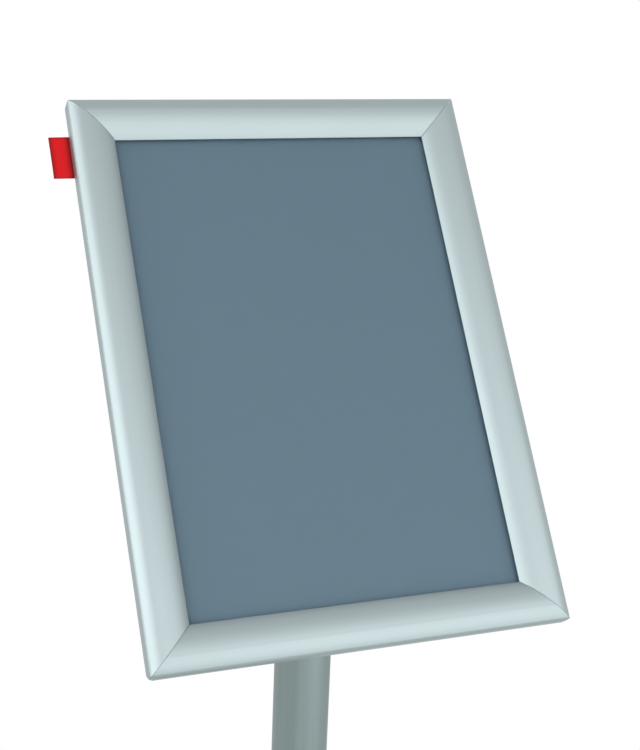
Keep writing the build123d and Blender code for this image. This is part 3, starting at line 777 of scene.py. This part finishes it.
class SetStage(bpy.types.Operator):
    """Sets the floor, the world, the lamps and the camera."""
    bl_idname = "snapframe.set_stage"
    bl_label = "Set Stage"

    def floor(self, stage):
        """Round matt floor that keeps the stand's shadow and fades to white further out."""
        bpy.ops.mesh.primitive_circle_add(vertices=96, radius=stage.floor_radius, fill_type="NGON")
        floor = bpy.context.object
        floor.name = "studio_floor"
        material = bpy.data.materials.new("studio_floor")
        material.use_nodes = True
        tree = material.node_tree
        tree.nodes.clear()
        matt = add(tree, "ShaderNodeBsdfDiffuse", {".Color": linear("#F2F2F2")})
        white = add(tree, "ShaderNodeEmission", {".Color": WHITE, ".Strength": 1.0})
        place = add(tree, "ShaderNodeTexCoord")
        away = add(
            tree, "ShaderNodeVectorMath", {"operation": "LENGTH"}, {"Vector": place.outputs["Object"]})
        fade = add(
            tree, "ShaderNodeMapRange",
            {"interpolation_type": "SMOOTHSTEP", ".From Min": FLOOR_FADE_START,
             ".From Max": FLOOR_FADE_END, ".To Min": FLOOR_LEAST_WHITE, ".To Max": 1.0},
            {"Value": away.outputs["Value"]})
        share = add(
            tree, "ShaderNodeMath", {"operation": "MULTIPLY"},
            {0: studio_rays(tree), 1: fade.outputs["Result"]}).outputs["Value"]
        both = add(tree, "ShaderNodeMixShader", None, {0: share, 1: matt.outputs[0], 2: white.outputs[0]})
        add(tree, "ShaderNodeOutputMaterial", None, {"Surface": both.outputs[0]})
        floor.data.materials.append(material)

    def world(self, stage):
        """Even light on the stand, before a white background."""
        world = bpy.data.worlds.new("studio_world")
        bpy.context.scene.world = world
        world.use_nodes = True
        tree = world.node_tree
        tree.nodes.clear()
        even = add(tree, "ShaderNodeBackground", {".Color": WHITE, ".Strength": stage.ambient})
        white = add(tree, "ShaderNodeBackground", {".Color": WHITE, ".Strength": 1.0})
        both = add(
            tree, "ShaderNodeMixShader", None,
            {0: studio_rays(tree), 1: even.outputs[0], 2: white.outputs[0]})
        add(tree, "ShaderNodeOutputWorld", None, {"Surface": both.outputs[0]})

    def lamp(self, name, place, width, height, power):
        """Soft rectangular lamp that faces the middle of the panel."""
        light = bpy.data.lights.new(name, "AREA")
        light.shape = "RECTANGLE"
        light.size = width
        light.size_y = height
        light.energy = power
        lamp = bpy.data.objects.new(name, light)
        bpy.context.scene.collection.objects.link(lamp)
        lamp.location = PANEL_CENTRE + place
        lamp.rotation_euler = (-place).to_track_quat("-Z", "Y").to_euler()
        lamp.visible_camera = False
        return lamp

    def camera(self, stage):
        """Camera of the product view, from the left and a little above the panel."""
        data = bpy.data.cameras.new("product_camera")
        data.sensor_width = SENSOR_WIDTH
        data.lens = stage.lens
        data.shift_x, data.shift_y = CAMERA_SHIFT
        camera = bpy.data.objects.new("product_camera", data)
        bpy.context.scene.collection.objects.link(camera)
        backward = Vector(CAMERA_BACKWARD).normalized()
        right = Vector(CAMERA_UPWARD).cross(backward).normalized()
        upward = backward.cross(right)
        camera.matrix_world = (
            Matrix.Translation(PANEL_CENTRE + Vector(CAMERA_PLACE))
            @ Matrix((right, upward, backward)).transposed().to_4x4())
        bpy.context.scene.camera = camera

    def execute(self, context):
        stage = context.scene.stage_settings
        self.floor(stage)
        self.world(stage)
        lamps = {}
        for name, (place, width, height) in LAMPS.items():
            power = getattr(stage, f"{name}_power")
            lamps[name] = self.lamp(f"{name}_lamp", Vector(place), width, height, power)
        # The back lamp lights what is behind the frame, and would glare on the rails' outer walls
        lamps["back"].visible_glossy = False
        self.camera(stage)
        context.scene.view_settings.view_transform = "Standard"
        return {"FINISHED"}


# Panel and registration


class SnapFramePanel(bpy.types.Panel):
    """Lists the steps that finish the stand."""
    bl_idname = "VIEW3D_PT_snap_frame"
    bl_label = "Snap Frame Stand"
    bl_space_type = "VIEW_3D"
    bl_region_type = "UI"
    bl_category = "Snap Frame"

    def draw(self, context):
        for step in STEPS:
            self.layout.operator(step.bl_idname)


STEPS = (FinishRails, FinishSheets, FinishPost, FinishFittings, MakeRibbonTab, CutThreads, SetStage)
SETTINGS = {
    "rail_settings": RailSettings,
    "post_settings": PostSettings,
    "paint_settings": PaintSettings,
    "sheet_settings": SheetSettings,
    "ribbon_settings": RibbonSettings,
    "thread_settings": ThreadSettings,
    "stage_settings": StageSettings,
}


def register():
    """Adds the settings to every scene, and the steps and the panel to Blender."""
    for name, group in SETTINGS.items():
        bpy.utils.register_class(group)
        setattr(bpy.types.Scene, name, PointerProperty(type=group))
    for entry in (*STEPS, SnapFramePanel):
        bpy.utils.register_class(entry)


def unregister():
    """Takes them out again."""
    for entry in reversed((*STEPS, SnapFramePanel)):
        bpy.utils.unregister_class(entry)
    for name, group in SETTINGS.items():
        delattr(bpy.types.Scene, name)
        bpy.utils.unregister_class(group)


def main():
    """Runs every step in order."""
    register()
    for step in STEPS:
        result = getattr(bpy.ops.snapframe, step.bl_idname.split(".")[1])()
        if result != {"FINISHED"}:
            raise RuntimeError(f"{step.bl_label} didn't finish")


if __name__ == "__main__":
    main()
